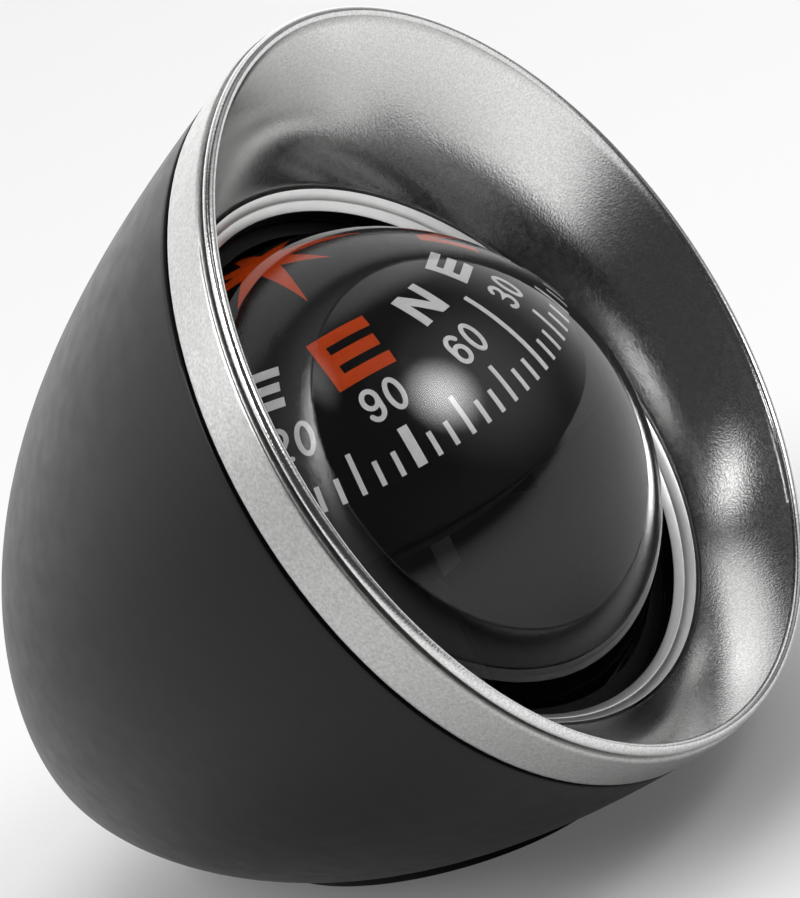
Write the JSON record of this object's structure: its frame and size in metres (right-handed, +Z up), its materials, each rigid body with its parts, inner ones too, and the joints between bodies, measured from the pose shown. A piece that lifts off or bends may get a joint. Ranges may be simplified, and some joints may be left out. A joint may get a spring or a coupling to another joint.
{
  "type": "car dashboard compass",
  "caption": "Ball compass for a dashboard: clear liquid-filled ball with a floating domed card, held in a black egg-shaped housing behind a silver funnel.",
  "frame": {"origin": "middle of the adhesive pad's lower face", "axes": "+Z up from the dashboard, -Y towards the reader and the mouth, +X to the reader's right"},
  "size_m": [0.049, 0.0524, 0.0522],
  "materials": {
    "black_shell": "soft matte black",
    "gloss_black": "gloss black",
    "satin_silver": "satin, fine sandy grain",
    "bowl_silver": "satin, fine sandy grain, pressed metal",
    "brass": "turned, plain",
    "bronze": "rolled phosphor bronze",
    "foam": "closed-cell foam tape",
    "felt": "dense felt",
    "seal_rubber": "moulded",
    "nylon": "natural nylon",
    "clear_dome": "clear, polished",
    "ruby": "polished",
    "pin_metal": "ground non-magnetic alloy",
    "card_black": "black with orange, white and grey print",
    "float_foam": "closed-cell foam",
    "black_lacquer": "dip lacquer, satin"
  },
  "bodies": {
    "housing": {"housing_shell": "black_shell", "adhesive_pad": "foam", "rim_band": "satin_silver", "funnel": "bowl_silver", "trim_ring": "satin_silver", "retaining_collar": "gloss_black", "collar_screw_1": "brass", "collar_screw_2": "brass", "collar_screw_3": "brass", "felt_ring": "felt", "socket_cup": "black_shell", "wave_spring": "bronze"},
    "swivel": {"swivel_ring": "nylon"},
    "capsule": {"capsule_dome": "clear_dome", "capsule_bowl": "gloss_black", "capsule_seal": "seal_rubber", "diaphragm": "seal_rubber", "diaphragm_cap": "gloss_black", "filling_plug": "brass", "plug_washer": "seal_rubber", "pivot_post": "gloss_black", "pivot_pin": "pin_metal"},
    "jewel": {"jewel_cup": "ruby"},
    "bush": {"jewel_bush": "brass"},
    "card": {"compass_card": "card_black", "card_float": "float_foam", "magnet_carrier": "black_lacquer", "magnet_left": "black_lacquer", "magnet_right": "black_lacquer"}
  },
  "joints": [
    {"name": "ball_turn", "type": "hinge", "parent": "housing", "child": "swivel", "pos_m": [0, -0.0052, 0.0217], "axis": [0, -0.9063, 0.4226], "range_deg": [-15, 15]},
    {"name": "ball_pitch", "type": "hinge", "parent": "swivel", "child": "capsule", "pos_m": [0, -0.0052, 0.0217], "axis": [1, 0, 0], "range_deg": [-15, 15]},
    {"name": "card_pitch", "type": "hinge", "parent": "capsule", "child": "jewel", "pos_m": [0, -0.0052, 0.0217], "axis": [1, 0, 0], "range_deg": [-15, 15], "stiffness_Nm_per_rad": 0.001},
    {"name": "card_roll", "type": "hinge", "parent": "jewel", "child": "bush", "pos_m": [0, -0.0052, 0.0217], "axis": [0, 1, 0], "range_deg": [-15, 15], "stiffness_Nm_per_rad": 0.001},
    {"name": "card_turn", "type": "hinge", "parent": "bush", "child": "card", "pos_m": [0, -0.0052, 0.0217], "axis": [0, 0, 1], "continuous": true}
  ]
}
